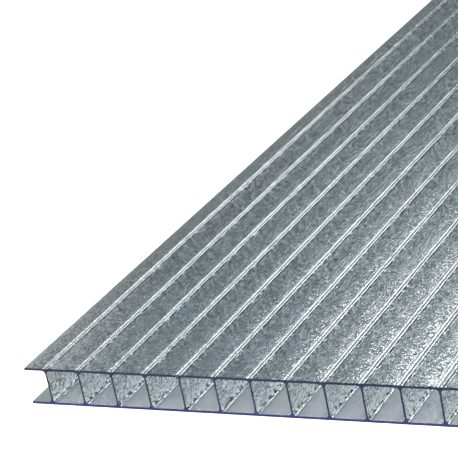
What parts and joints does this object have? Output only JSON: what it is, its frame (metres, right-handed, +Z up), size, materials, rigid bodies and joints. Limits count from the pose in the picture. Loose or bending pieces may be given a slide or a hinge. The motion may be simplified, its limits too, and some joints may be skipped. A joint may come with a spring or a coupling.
{
  "type": "twin-wall polycarbonate sheet",
  "caption": "Flat clear twin-wall plastic glazing sheet: thin skins joined by upright ribs, with straight flutes open at both ends.",
  "frame": {"origin": "middle of the underside, on the surface the sheet lies on", "axes": "+X across the ribs, +Y along the flutes, +Z up through the thickness"},
  "size_m": [0.305, 0.61, 0.006],
  "materials": {
    "clear_polycarbonate": "clear extruded plastic, finely pebbled skins, faint blue-grey tint at the cut ends"
  },
  "bodies": {
    "root": {"twin_wall_sheet": "clear_polycarbonate"}
  },
  "joints": []
}
